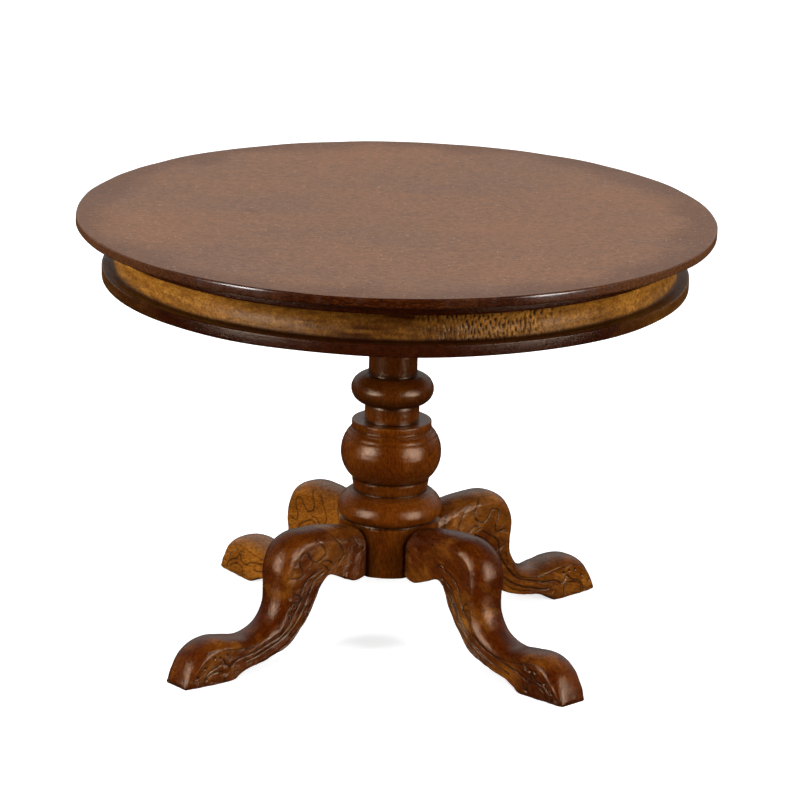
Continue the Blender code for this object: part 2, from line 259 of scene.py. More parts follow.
# A stain is three colours from dark to light. The second one shows where the tone field is 1, and the colour
# of soot and painted shade where the field of soot and shade is 1; a wood without a second stain reads no
# fields.
# gloss is the lowest and the highest roughness, and relief the depth of pores and lacquer ripple in
# millimetres.
WOODS = {
    "top_wood": {
        "stain": ((0.130, 0.049, 0.017), (0.225, 0.089, 0.033), (0.325, 0.135, 0.053)),
        "second_stain": ((0.018, 0.003, 0.0003), (0.034, 0.006, 0.0006), (0.080, 0.020, 0.003)),
        "soot_and_shade_colour": (0.060, 0.026, 0.017),
        "gloss": (0.34, 0.42),
        "relief": 0.012,
        "streaks": 0.08,
        "flecks": 0.60,
        "porous": 0.25,
        "specular": 0.5,
        "dullness": -0.18,
        "specks": 0.7,
        "spread": 26.0,
    },
    "apron_wood": {
        "stain": ((0.016, 0.0025, 0.0003), (0.026, 0.004, 0.0004), (0.042, 0.008, 0.001)),
        "second_stain": ((0.19, 0.062, 0.005), (0.32, 0.122, 0.012), (0.52, 0.225, 0.034)),
        "soot_and_shade_colour": (0.012, 0.0025, 0.0003),
        "gloss": (0.22, 0.32),
        "relief": 0.060,
        "streaks": 0.50,
        "specular": 0.3,
        "tint": (1.0, 0.80, 0.62),
        "dullness": 0.22,
        "spread": 14.0,
    },
    "column_wood": {
        "stain": ((0.045, 0.0070, 0.0003), (0.086, 0.0150, 0.0007), (0.142, 0.0310, 0.0018)),
        "second_stain": ((0.085, 0.0185, 0.0009), (0.152, 0.0370, 0.0024), (0.235, 0.0660, 0.0060)),
        "soot_and_shade_colour": (0.014, 0.0030, 0.0003),
        "gloss": (0.11, 0.18),
        "relief": 0.065,
        "streaks": 0.12,
        "flecks": 0.50,
        "porous": 0.25,
        "specular": 0.5,
        "tint": (1.0, 0.72, 0.50),
    },
    "leg_wood": {
        "stain": ((0.036, 0.0052, 0.0003), (0.070, 0.0112, 0.0006), (0.122, 0.0245, 0.0016)),
        "second_stain": ((0.155, 0.0430, 0.0028), (0.300, 0.0940, 0.0085), (0.460, 0.1650, 0.0200)),
        "soot_and_shade_colour": (0.012, 0.0025, 0.0003),
        "gloss": (0.11, 0.18),
        "relief": 0.085,
        "specular": 0.5,
        "tint": (1.0, 0.70, 0.48),
    },
    "bare_wood": {
        "stain": ((0.40, 0.26, 0.14), (0.52, 0.36, 0.21), (0.62, 0.46, 0.29)),
        "gloss": (0.6, 0.8),
        "relief": 0.03,
    },
}
STAIN_STOPS = (0.38, 0.5, 0.62)
DUST_COLOUR = (0.70, 0.50, 0.36)
WOOD_IOR = 1.46
SOOT_AND_SHADE_DULLNESS = 0.12
TONE_DRIFT = 0.08

# ---------------------------------------------------------------- studio

CAMERA_PLACE = (62.8, -775.3, 271.0)
CAMERA_HEADING = 4.534  # the way it looks, in degrees left of +Y
CAMERA_DIP = 16.395  # how far it looks down
CAMERA_ROLL = 1.465
CAMERA_LENS = 214.15
FLOOR_SIZE = 12.0  # metres
FLOOR_DROP = 0.02
FLOOR_GLOW = 0.72
FRONT_GLOW = 0.02
BACK_GLOW = 0.55
AIM_HEIGHT = 40.0
# Degrees to the right of the camera's side, degrees up, metres away, size in metres and power in watts
LAMPS = {
    "left_soft_box": (-55.0, 11.0, 0.9, (0.14, 0.48), 8.2),
    "right_soft_box": (55.0, 11.0, 0.9, (0.14, 0.48), 8.2),
    "overhead_soft_box": (0.0, 80.0, 1.3, (1.8, 1.8), 16.0),
}
LAMPS_WITHOUT_GLINTS = ("overhead_soft_box",)

# ---------------------------------------------------------------- lines and grids of points


def blend(low, high, values):
    """0 below low, 1 above high and a smooth step between them."""
    share = np.clip((values - low) / (high - low), 0.0, 1.0)
    return share * share * (3.0 - 2.0 * share)


def ripple(points, size, seed, waves=20):
    """Smooth, repeatable unevenness, mostly between -1 and 1, in features of about the given size."""
    draw = np.random.default_rng(seed)
    directions = draw.normal(size=(waves, 3))
    directions /= np.linalg.norm(directions, axis=1)[:, None]
    pulses = math.tau / (size * draw.uniform(0.8, 2.2, waves))
    phases = draw.uniform(0.0, math.tau, waves)
    total = np.zeros(points.shape[:-1])
    for direction, pulse, phase in zip(directions, pulses, phases):
        total += np.sin(points @ direction * pulse + phase)
    return total / math.sqrt(waves)


def arc(centre, radii, start, end, steps):
    """Points along part of an ellipse, from the start angle to the end angle in degrees."""
    angles = np.radians(np.linspace(start, end, steps + 1))
    return [(centre[0] + radii[0] * math.cos(a), centre[1] + radii[1] * math.sin(a)) for a in angles]


def swelling(bottom, top, widest, radius, sweep, steps=24):
    """A turned swelling between two (radius, height) ends; a sweep of 90 degrees gives a full round."""
    angles = np.radians(sweep) * np.arange(steps + 1) / steps
    rises = np.sin(angles) / math.sin(angles[-1])
    falls = (1.0 - np.cos(angles)) / (1.0 - math.cos(angles[-1]))

    def half(end):
        depth = radius - end[0]
        length = end[1] - widest
        return [(radius - depth * fall, widest + length * rise) for rise, fall in zip(rises, falls)]

    return half(bottom)[:0:-1] + half(top)


def round_corners(points, radius, sharp=25.0, steps=5, closed=False):
    """Rounds each corner that turns by more than the sharp angle."""
    points = [np.array(p, float) for p in points]
    count = len(points)
    found = []
    for i, point in enumerate(points):
        if not closed and i in (0, count - 1):
            found.append(point)
            continue
        before = points[i - 1] - point
        after = points[(i + 1) % count] - point
        lengths = np.linalg.norm(before), np.linalg.norm(after)
        turn = math.degrees(math.acos(np.clip(-(before @ after) / (lengths[0] * lengths[1]), -1.0, 1.0)))
        if turn < sharp:
            found.append(point)
            continue
        start = point + before / lengths[0] * min(radius, 0.45 * lengths[0])
        end = point + after / lengths[1] * min(radius, 0.45 * lengths[1])
        for t in np.linspace(0.0, 1.0, steps + 1):
            found.append((1 - t) ** 2 * start + 2 * t * (1 - t) * point + t * t * end)
    return np.array(found)


def fill_in(points, spacing, closed=False):
    """Adds points along straight runs, so that none is longer than the spacing."""
    ends = np.vstack([points, points[:1]]) if closed else points
    found = []
    for start, end in zip(ends, ends[1:]):
        count = max(1, math.ceil(np.linalg.norm(end - start) / spacing))
        found += [start + (end - start) * i / count for i in range(count)]
    if not closed:
        found.append(ends[-1])
    return np.array(found)


def flow_through(rows, steps):
    """Catmull-Rom rows of numbers through the given ones."""
    rows = np.array(rows, float)
    padded = np.vstack([rows[:1], rows, rows[-1:]])
    found = []
    for a, b, c, d in zip(padded, padded[1:], padded[2:], padded[3:]):
        t = (np.arange(steps) / steps)[:, None]
        found.append(b + 0.5 * t * (c - a + t * (2 * a - 5 * b + 4 * c - d + t * (3 * (b - c) + d - a))))
    return np.vstack(found + [rows[-1:]])


def profile_normals(profile, closed=False):
    """Directions that point out of a turned outline, which runs with its solid on the left."""
    ahead = np.roll(profile, -1, axis=0)
    behind = np.roll(profile, 1, axis=0)
    if not closed:
        ahead[-1] = profile[-1]
        behind[0] = profile[0]
    along = ahead - behind
    along /= np.linalg.norm(along, axis=1)[:, None]
    return np.stack([along[:, 1], -along[:, 0]], axis=1)


def hollowness(profile, reach, closed=False):
    """How far each point lies below its smoothed surroundings, in millimetres; an arris is negative."""
    ends = np.vstack([profile[-1:], profile]) if closed else profile
    steps = np.linalg.norm(np.diff(ends, axis=0), axis=1)
    place = np.cumsum(steps) if closed else np.concatenate([[0.0], np.cumsum(steps)])
    gaps = np.abs(place[:, None] - place[None, :])
    if closed:
        gaps = np.minimum(gaps, place[-1] - gaps)
    share = np.gradient(place)[None, :] if not closed else steps[None, :]
    weights = np.exp(-((gaps / reach) ** 2)) * share
    weights /= weights.sum(axis=1)[:, None]
    return np.einsum("ij,ij->i", weights @ profile - profile, profile_normals(profile, closed))


def spin(profile, angles, lift=None, closed=False):
    """Turns an outline of (radius, height) points about Z. lift moves each point out along its normal."""
    radius = np.repeat(profile[:, 0][:, None], len(angles), axis=1)
    height = np.repeat(profile[:, 1][:, None], len(angles), axis=1)
    if lift is not None:
        normals = profile_normals(profile, closed)
        radius = radius + lift * normals[:, 0][:, None]
        height = height + lift * normals[:, 1][:, None]
    return np.stack([radius * np.cos(angles), radius * np.sin(angles), height], axis=-1)


# ---------------------------------------------------------------- meshes


def signed_volume(points, faces):
    total = 0.0
    for i in range(1, faces.shape[1] - 1):
        a, b, c = points[faces[:, 0]], points[faces[:, i]], points[faces[:, i + 1]]
        total += np.einsum("ij,ij->", a, np.cross(b, c))
    return total


def piece_from(name, grid, fields, material, closed=False):
    """A solid from rows of points that each close round, standing for the CAD node of its name.

    Unless the rows themselves form a closed ring, each end is shut with a fan to its middle.
    """
    rows, columns = grid.shape[:2]
    index = np.arange(rows * columns).reshape(rows, columns)
    here = index if closed else index[:-1]
    there = np.roll(index, -1, axis=0) if closed else index[1:]
    corners = [here, np.roll(here, -1, axis=1), np.roll(there, -1, axis=1), there]
    quads = np.stack(corners, axis=-1).reshape(-1, 4)
    fans = np.zeros((0, 3), int)
    stacks = {"position": grid, **fields}
    values = {key: stack.reshape(rows * columns, -1) for key, stack in stacks.items()}
    if not closed:
        start = np.full(columns, rows * columns)
        first, last = index[0], index[-1]
        fans = np.vstack(
            [
                np.stack([start, np.roll(first, -1), first], axis=-1),
                np.stack([start + 1, last, np.roll(last, -1)], axis=-1),
            ]
        )
        for key, stack in stacks.items():
            middles = np.stack([stack[0].mean(axis=0), stack[-1].mean(axis=0)]).reshape(2, -1)
            values[key] = np.vstack([values[key], middles])
    points = values.pop("position")
    if signed_volume(points, quads) + signed_volume(points, fans) < 0:
        quads, fans = quads[:, ::-1], fans[:, ::-1]
    mesh = bpy.data.meshes.new(name)
    mesh.from_pydata((points * MM).tolist(), [], quads.tolist() + fans.tolist())
    mesh.shade_smooth()
    for key, value in values.items():
        kind, socket = ("FLOAT_VECTOR", "vector") if value.shape[1] == 3 else ("FLOAT", "value")
        attribute = mesh.attributes.new(key, kind, "POINT")
        attribute.data.foreach_set(socket, value.astype(np.float32).ravel())
    mesh.materials.append(material)
    piece = bpy.data.objects.new(name + "_finished", mesh)
    bpy.context.scene.collection.objects.link(piece)
    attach(piece, "root")
    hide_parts(name)
    return piece


# ---------------------------------------------------------------- wood finishes


def add(tree, kind, inputs=None, **settings):
    """A new shader node; an input is a value or the output socket that feeds it."""
    made = tree.nodes.new(kind)
    for key, value in settings.items():
        setattr(made, key, value)
    for key, value in (inputs or {}).items():
        if isinstance(value, bpy.types.NodeSocket):
            tree.links.new(value, made.inputs[key])
        else:
            made.inputs[key].default_value = value
    return made


def stretched_noise(tree, place, stretch, detail=4.0, roughness=0.55, distortion=0.0):
    """Noise with its own scale along and across the grain, in features per millimetre."""
    scaled = add(tree, "ShaderNodeMapping", {"Vector": place, "Scale": stretch})
    inputs = {
        "Vector": scaled.outputs["Vector"],
        "Scale": 1.0,
        "Detail": detail,
        "Roughness": roughness,
        "Distortion": distortion,
    }
    return add(tree, "ShaderNodeTexNoise", inputs).outputs["Fac"]


def ramp(tree, share, stops):
    """Colours from (place, colour) stops, read by a share from 0 to 1."""
    made = add(tree, "ShaderNodeValToRGB", {"Fac": share})
    elements = made.color_ramp.elements
    while len(elements) < len(stops):
        elements.new(0.5)
    for element, (place, colour) in zip(elements, stops):
        element.position = place
        element.color = (*colour, 1.0)
    return made.outputs["Color"]


def between(tree, share, low, high, to_low=0.0, to_high=1.0):
    inputs = {"Value": share, "From Min": low, "From Max": high, "To Min": to_low, "To Max": to_high}
    return add(tree, "ShaderNodeMapRange", inputs).outputs["Result"]


def maths(tree, operation, first, second, clamp=False):
    made = add(tree, "ShaderNodeMath", {0: first, 1: second}, operation=operation, use_clamp=clamp)
    return made.outputs["Value"]


def weighted_sum(tree, parts):
    """The sum of sockets, each times its own weight."""
    total = maths(tree, "MULTIPLY", *parts[0])
    for socket, weight in parts[1:]:
        total = maths(tree, "ADD", total, maths(tree, "MULTIPLY", socket, weight))
    return total


def mixed(tree, share, first, second, mode="MIX"):
    """One colour blended into another. The node's sockets 6 and 7 are its colours and 2 is its result."""
    inputs = {0: share, 6: first, 7: second}
    return add(tree, "ShaderNodeMix", inputs, data_type="RGBA", blend_type=mode).outputs[2]


def field(tree, name):
    return add(tree, "ShaderNodeAttribute", attribute_name=name)


def plank_place(tree, has_fields):
    """Where a point lies in its plank, in millimetres."""
    if has_fields:
        return field(tree, "grain").outputs["Vector"]
    where = add(tree, "ShaderNodeTexCoord").outputs["Object"]
    return add(tree, "ShaderNodeMapping", {"Vector": where, "Scale": (1 / MM,) * 3}).outputs["Vector"]


def stained_by_fields(tree, look, shade, clouds, peel, colour, roughness):
    """Lays the second stain and the dark of soot and painted shade over a colour. Returns the colour, the
    roughness and the tone.
    """
    second = ramp(tree, shade, list(zip(STAIN_STOPS, look["second_stain"])))
    drift = between(tree, clouds, 0.3, 0.7, -TONE_DRIFT, TONE_DRIFT)
    tone = maths(tree, "ADD", field(tree, "tone").outputs["Fac"], drift, clamp=True)
    colour = mixed(tree, tone, colour, second)
    soot_and_shade = field(tree, "soot_and_shade").outputs["Fac"]
    broken = maths(tree, "MULTIPLY", soot_and_shade, between(tree, peel, 0.25, 0.6, 0.75, 1.1), clamp=True)
    colour = mixed(tree, broken, colour, (*look["soot_and_shade_colour"], 1.0))
    parts = [(roughness, 1.0), (soot_and_shade, SOOT_AND_SHADE_DULLNESS), (tone, look["dullness"])]
    return colour, weighted_sum(tree, parts), tone


def dusted(tree, place, tone, colour, amount):
    """Pale specks of dust where the first stain shows."""
    dust = stretched_noise(tree, place, (2.2, 2.2, 2.2), 1.0, 0.5)
    grains = between(tree, dust, 0.69, 0.77, 0.0, amount)
    on_first = between(tree, tone, 0.0, 0.3, 1.0, 0.0)
    return mixed(tree, maths(tree, "MULTIPLY", grains, on_first), colour, (*DUST_COLOUR, 1.0))


def lacquer(tree, look, heights, roughness):
    """The gloss, the sheen's colour and the fine relief."""
    shader = tree.nodes["Principled BSDF"]
    tree.links.new(roughness, shader.inputs["Roughness"])
    inputs = {"Height": heights, "Strength": 1.0, "Distance": look["relief"] * MM}
    tree.links.new(add(tree, "ShaderNodeBump", inputs).outputs["Normal"], shader.inputs["Normal"])
    shader.inputs["Specular IOR Level"].default_value = look["specular"]
    shader.inputs["Specular Tint"].default_value = (*look["tint"], 1.0)
    shader.inputs["IOR"].default_value = WOOD_IOR


def wood_finish(name):
    """A stained and lacquered wood, as its entry in WOODS says."""
    look = {**PLAIN_WOOD, **WOODS[name]}
    has_fields = "second_stain" in look
    material = bpy.data.materials.new(name)
    material.use_nodes = True
    tree = material.node_tree
    place = plank_place(tree, has_fields)

    spread = look["spread"]
    long_grain = stretched_noise(tree, place, (0.10, 1.1, 1.1), 6.0, 0.62, 0.4)
    clouds = stretched_noise(tree, place, (0.6 / spread, 1 / spread, 1 / spread), 3.0)
    fibres = stretched_noise(tree, place, (1.1, 3.4, 3.4), 4.0, 0.7)
    peel = stretched_noise(tree, place, (2.6, 3.2, 3.2), 3.0, 0.65)
    streaks, flecks = look["streaks"], look["flecks"]
    parts = [(long_grain, streaks), (clouds, 1.0 - streaks - flecks), (fibres, flecks)]
    shade = weighted_sum(tree, parts)
    colour = ramp(tree, shade, list(zip(STAIN_STOPS, look["stain"])))
    roughness = between(tree, clouds, 0.3, 0.7, *look["gloss"])
    if has_fields:
        stained = stained_by_fields(tree, look, shade, clouds, peel, colour, roughness)
        colour, roughness, tone = stained

    pores = between(tree, fibres, 0.32, 0.52, 1.0 - look["porous"], 1.0)
    channels = {"Red": pores, "Green": pores, "Blue": pores}
    grey = add(tree, "ShaderNodeCombineColor", channels).outputs["Color"]
    colour = mixed(tree, 1.0, colour, grey, "MULTIPLY")
    if look["specks"]:
        colour = dusted(tree, place, tone, colour, look["specks"])
    tree.links.new(colour, tree.nodes["Principled BSDF"].inputs["Base Color"])
    lacquer(tree, look, weighted_sum(tree, [(fibres, 0.4), (peel, 1.0)]), roughness)
    return material


# ---------------------------------------------------------------- top board


def top_board(material):
    low, high, radius = BOARD_LOW[2], BOARD_HIGH[2], BOARD_HIGH[0]
    outline = [(0.4, low), (radius, low), (radius, high), (0.4, high)]
    profile = fill_in(round_corners(outline, TOP_ARRIS, steps=8), TOP_SPACING)
    angles = np.radians(np.arange(0.0, 360.0, TOP_STEP))
    plain = spin(profile, angles)
    distance = np.hypot(plain[..., 0], plain[..., 1])
    at_edge = blend(radius - 4.0, radius, distance)
    lift = 0.03 * ripple(plain, 22.0, 11) + 0.035 * at_edge * ripple(plain, 7.0, 12)
    grid = spin(profile, angles, lift)
    grid[..., 2] = np.minimum(grid[..., 2], high)

    side = blend(radius - 0.5, radius - 0.2, distance)
    rim = blend(radius - 9.0, radius - 1.0, distance + 1.6 * ripple(plain, 9.0, 13))
    nicks = blend(0.5, 1.3, ripple(plain * (1.0, 1.0, 0.35), 0.9, 14)) * side * 0.35
    # Painted light: the edge takes less of its dark second stain where it faces +X or -X, towards the side
    # lamps, so it looks lit there and darkest facing front and back.
    sideways = (plain[..., 0] / np.maximum(distance, 1.0)) ** 2
    fields = {
        "grain": plain,
        "tone": side * np.clip(1.03 - 0.5 * sideways + 0.04 * ripple(plain, 9.0, 15), 0.0, 1.1),
        "soot_and_shade": np.clip(0.42 * rim * (1 - side) + nicks, 0.0, 1.0),
    }
    return piece_from("top_board", grid, fields, material)


# ---------------------------------------------------------------- apron ring


def ring_angles(fine, coarse):
    """Angles round the ring in degrees, closer together over the two patches of end grain."""
    found = []
    angle = 0.0
    while angle < 360.0 - coarse / 2:
        found.append(angle)
        angle += fine if abs(off_end_grain(angle)) < END_GRAIN_REACH + 4.0 else coarse
    return np.radians(found)


def apron_profile(inner, radius, lower_ledge, upper_ledge):
    """The ring's outline: plain inside, with two bands and the hollow between them outside."""
    low, high = APRON_LOW[2], APRON_HIGH[2]
    middle = (lower_ledge + upper_ledge) / 2
    hollow = (COVE_DEPTH - LEDGE_WIDTH, (upper_ledge - lower_ledge) / 2)
    outline = [(inner, high), (inner, low), (radius, low), (radius, lower_ledge)]
    outline += arc((radius - LEDGE_WIDTH, middle), hollow, -90, -270, 22)
    outline += [(radius, upper_ledge), (radius, high)]
    return fill_in(round_corners(outline, BAND_ARRIS, steps=4, closed=True), APRON_SPACING, closed=True)


def off_end_grain(turn):
    """Degrees from the nearer patch of end grain, which shows twice, on opposite sides."""
    return (turn - END_GRAIN_TURN + 90.0) % 180.0 - 90.0


def end_grain_marks(plain, turn, in_cove, above_middle):
    """Where end grain shows in the hollow, its pebbly surface, and how deeply the tool tore it."""
    ragged = np.abs(off_end_grain(turn)) + 3.5 * ripple(plain, 5.0, 21)
    end_grain = (1.0 - blend(END_GRAIN_REACH * 0.45, END_GRAIN_REACH, ragged)) * in_cove
    pebbles = ripple(plain * (1.0, 1.0, 0.5), 0.38, 22)
    pitted = 0.9 * blend(0.25, 1.0, pebbles) * end_grain
    off_tears = (turn - END_GRAIN_TURN - TEAR_OUT_TURN + 180.0) % 360.0 - 180.0
    deepest = np.exp(-((off_tears / TEAR_OUT_REACH) ** 2)) * in_cove * blend(-1.2, 0.3, above_middle)
    torn = np.maximum(pitted, blend(0.1, 1.0, ripple(plain * (1.0, 1.0, 0.4), 0.5, 29)) * deepest)
    return end_grain, pebbles, torn


def gold_and_light_share(plain, turn, in_cove, outside, end_grain, pebbles):
    """How much golden stain shows, most in the hollow and less where that is dull; on the bands, painted
    light towards +X.
    """
    dull = np.exp(-(((off_end_grain(turn) - DULL_GOLD_TURN) / DULL_GOLD_REACH) ** 2))
    patchy = ripple(plain * (1.0, 1.0, 2.5), 9.0, 27) + 0.6 * ripple(plain * (1.0, 1.0, 4.0), 3.0, 28)
    fine_streaks = ripple(plain * (1.0, 1.0, 5.0), 3.0, 30) * (1.0 - end_grain)
    to_right = np.cos(np.radians(turn))
    gold_and_light = in_cove * (0.90 - 0.10 * to_right - 0.72 * dull + 0.09 * patchy + 0.10 * fine_streaks)
    gold_and_light = gold_and_light + 0.25 * end_grain * np.clip(-pebbles, 0.0, 1.0)
    # Painted light: the bands get tone towards +X, where they face the right lamp, and stay darkest facing
    # the camera.
    return gold_and_light + (0.34 * to_right**4 * outside - 0.08) * (1.0 - in_cove)


def apron_ring(material):
    radius = APRON_HIGH[0]
    inner = radius - APRON_WALL
    lower_ledge = APRON_LOW[2] + BAND_HEIGHT
    upper_ledge = APRON_HIGH[2] - BAND_HEIGHT
    profile = apron_profile(inner, radius, lower_ledge, upper_ledge)
    angles = ring_angles(END_GRAIN_STEP, APRON_STEP)
    plain = spin(profile, angles)

    distance = profile[:, 0][:, None]
    height = profile[:, 1][:, None]
    outside = distance > inner + 1.0
    in_cove = blend(0.0, 0.5, height - lower_ledge) * blend(0.0, 0.5, upper_ledge - height) * outside
    turn = np.degrees(angles)[None, :]
    above_middle = height - (lower_ledge + upper_ledge) / 2
    end_grain, pebbles, torn = end_grain_marks(plain, turn, in_cove, above_middle)
    rough = ripple(plain, 1.1, 23)
    long_grain = ripple(plain * (1.0, 1.0, 2.6), 4.0, 24)
    off_quirk = (height - lower_ledge - COVE_QUIRK_HEIGHT) / COVE_QUIRK_WIDTH
    quirk = np.exp(-(off_quirk**2)) * outside * (distance < radius - LEDGE_WIDTH + 0.1)

    lift = 0.03 * ripple(plain, 16.0, 25) + 0.018 * rough * in_cove + 0.02 * long_grain * in_cove
    lift = lift - TEAR_DEPTH * torn - COVE_QUIRK_DEPTH * quirk
    grid = spin(profile, angles, lift, closed=True)
    hollows = np.clip(hollowness(profile, 0.3, closed=True) / 0.10, -1.0, 1.0)[:, None]
    scuffs = blend(0.2, 1.1, ripple(plain, 2.0, 26)) * np.clip(-hollows, 0.0, 1.0)
    gold_and_light = gold_and_light_share(plain, turn, in_cove, outside, end_grain, pebbles)
    # Painted shade with some dark stain in the hollow corners of the profile; dark stain in the torn end
    # grain and the quirk line.
    soot_and_shade = 0.7 * np.clip(hollows, 0.0, 1.0) * outside + 0.95 * torn + 0.7 * quirk
    fields = {
        "grain": turned_grain(plain, math.radians(END_GRAIN_TURN)),
        "tone": np.clip(gold_and_light + 0.06 * scuffs, -TONE_DRIFT, 1.0),
        "soot_and_shade": np.clip(soot_and_shade, 0.0, 1.0),
    }
    return piece_from("apron_ring", grid, fields, material, closed=True)


def turned_grain(points, angle):
    """Plank coordinates of points, with the fibres along a horizontal direction."""
    along = points[..., 0] * math.cos(angle) + points[..., 1] * math.sin(angle)
    across = points[..., 1] * math.cos(angle) - points[..., 0] * math.sin(angle)
    return np.stack([along, across, points[..., 2]], axis=-1)


# ---------------------------------------------------------------- turned column


def leg_direction(place):
    """The way a leg points, from the toe of its CAD node, in radians from +X."""
    vertices = frame["nodes"][f"leg_{place}"].data.vertices
    farthest = max((v.co for v in vertices), key=lambda co: co.xy.length)
    toe = [v.co for v in vertices if v.co.xy.length > farthest.xy.length - 1.0 * MM]
    return math.atan2(sum(co.y for co in toe), sum(co.x for co in toe))


def column_outline():
    collar_top = BLOCK_LOW[2] - GLUE_LINE
    collar_bottom = collar_top - COLLAR_HEIGHT
    quirk_radius = HUB_RADIUS - HUB_QUIRK_DEPTH
    quirk_bottom = HUB_TOP - HUB_QUIRK
    outline = [(AXIS_GAP, COLUMN_LOW[2]), (HUB_RADIUS, COLUMN_LOW[2]), (HUB_RADIUS, quirk_bottom)]
    outline += [(quirk_radius, quirk_bottom)]
    outline += swelling((quirk_radius, HUB_TOP), (WAIST_RADIUS, BULB_TOP), HUB_TOP + 1.7, BULB_RADIUS, 65)
    ball_middle = (WAIST_TOP + BALL_TOP) / 2
    ball_ends = (WAIST_RADIUS + 0.35, WAIST_TOP), (SHOULDER_RADIUS, BALL_TOP)
    outline += swelling(*ball_ends, ball_middle, BALL_RADIUS, 50)
    outline += [(SHOULDER_RADIUS, SHOULDER_TOP), (LOWER_NECK_RADIUS, SHOULDER_TOP)]
    ring_ends = (LOWER_NECK_RADIUS, RING_BOTTOM), (UPPER_NECK_RADIUS, RING_TOP)
    outline += swelling(*ring_ends, (RING_BOTTOM + RING_TOP) / 2, RING_RADIUS, 90)
    flare = (COLLAR_RADIUS - UPPER_NECK_RADIUS, FLARE_HEIGHT)
    outline += arc((COLLAR_RADIUS, collar_bottom - FLARE_HEIGHT), flare, 180, 90, 12)
    outline += [(COLLAR_RADIUS, collar_top), (TENON_RADIUS, collar_top)]
    outline += [(TENON_RADIUS, COLUMN_HIGH[2]), (AXIS_GAP, COLUMN_HIGH[2])]
    return outline


def column_angles(directions):
    """Angles round the column that include both edges of every flat on the hub."""
    half = math.radians(FLAT_HALF_ANGLE)
    edges = sorted((direction + side) % math.tau for direction in directions for side in (-half, half))
    found = []
    for start, end in zip(edges, edges[1:] + [edges[0] + math.tau]):
        count = math.ceil((end - start) / math.radians(COLUMN_STEP))
        found += [start + (end - start) * i / count for i in range(count)]
    return np.array(found)


def with_flats(grid, directions):
    """Pares the hub back to the flats that the legs are glued to."""
    on_hub = grid[..., 2] < HUB_TOP - 0.15
    for direction in directions:
        along = grid[..., 0] * math.cos(direction) + grid[..., 1] * math.sin(direction)
        spare = np.clip(along - SEAT_DISTANCE, 0.0, None) * on_hub
        grid[..., 0] -= spare * math.cos(direction)
        grid[..., 1] -= spare * math.sin(direction)
    return grid


def column_soot_and_shade(profile, hollows, lines, shown):
    """Dark stain and painted shade in the hollows, dark stain in the turned lines, painted shade on
    undersides, and darker on the hub and higher up.
    """
    height = profile[:, 1][:, None]
    wide_hollows = np.clip(hollowness(profile, 2.4) / 0.9, 0.0, 1.0)[:, None]
    # Painted shade with dark stain in the hollows; dark stain in the turned lines.
    soot_and_shade = 0.8 * np.clip(hollows, 0.0, 1.0) + 0.45 * wide_hollows + 3.0 * lines
    # Darker on the hub.
    soot_and_shade = 0.8 * soot_and_shade + 0.15 * (1.0 - blend(HUB_TOP - 0.6, HUB_TOP, height))
    # Painted shade on the undersides, and darker higher up, towards the ring and the neck.
    underside = np.clip(-profile_normals(profile)[:, 1], 0.0, 1.0)[:, None]
    return soot_and_shade + 0.60 * underside * shown + 0.42 * blend(SHOULDER_TOP - 0.5, RING_BOTTOM + 1.0, height)


def pedestal_column(material):
    directions = [leg_direction(place) for place in LEG_PLACES]
    profile = fill_in(round_corners(column_outline(), COLUMN_ARRIS), COLUMN_SPACING)
    angles = column_angles(directions)
    plain = spin(profile, angles)
    height = profile[:, 1][:, None]
    shown = height > HUB_TOP - 0.2
    chatter = 0.010 * np.sin(height * 9.0 + 1.5 * np.sin(height * 2.3)) * shown
    lift = 0.025 * ripple(plain, 9.0, 31) + 0.008 * ripple(plain, 1.6, 32) + chatter
    lines = sum(depth * np.exp(-(((height - at) / width) ** 2)) for at, depth, width in TURNED_LINES)
    lift = lift - lines * (profile[:, 0][:, None] > LOWER_NECK_RADIUS - 0.2)
    grid = with_flats(spin(profile, angles, lift), directions)

    hollows = np.clip(hollowness(profile, 0.8) / 0.22, -1.0, 1.0)[:, None]
    lower = 1.0 - blend(WAIST_TOP - 3.0, WAIST_TOP + 2.0, height)
    worn = np.clip(-hollows, 0.0, 1.0) * blend(-0.4, 0.8, ripple(plain, 3.0, 33))
    soot_and_shade = np.broadcast_to(column_soot_and_shade(profile, hollows, lines, shown), plain.shape[:2])
    fields = {
        "grain": np.stack([grid[..., 2], grid[..., 0], grid[..., 1]], axis=-1),
        "tone": np.clip(0.5 * worn + 0.2 + 0.45 * lower + 0.15 * ripple(plain, 12.0, 34), 0.0, 1.0),
        "soot_and_shade": np.clip(soot_and_shade, 0.0, 1.0),
    }
    return piece_from("pedestal_column", grid, fields, material)


# ---------------------------------------------------------------- carved cabriole legs


def section_loop(depth, crown, width, side_steps=52, crown_steps=20, edge_steps=6):
    """Points (along, sideways) round a cross-section: inner edge, flat side, crown and back again."""
    half = width / 2
    soft = min(LEG_SOFTENING, 0.2 * depth)
    crown = min(crown, 0.6 * depth)
    edge = [(0.0, (half - soft) * i / edge_steps) for i in range(edge_steps)]
    edge += [(soft * (1 - math.cos(a)), half - soft + soft * math.sin(a)) for a in (0.0, 0.5, 1.0)]
    side = [(soft + (depth - crown - soft) * i / side_steps, half) for i in range(side_steps)]
    first = math.radians(CROWN_ARRIS)
    bend = first + (math.pi / 2 - first) * np.arange(crown_steps) / crown_steps
    power = 2.0 / CROWN_BOXINESS
    start = math.sin(first) ** power
    rises = (np.sin(bend) ** power - start) / (1 - start)
    spans = half * (np.cos(bend) / math.cos(first)) ** power
    top = list(zip(depth - crown + crown * rises, spans))
    one = edge + side + top
    return np.array(one + [(depth, 0.0)] + [(along, -sideways) for along, sideways in one[:0:-1]])


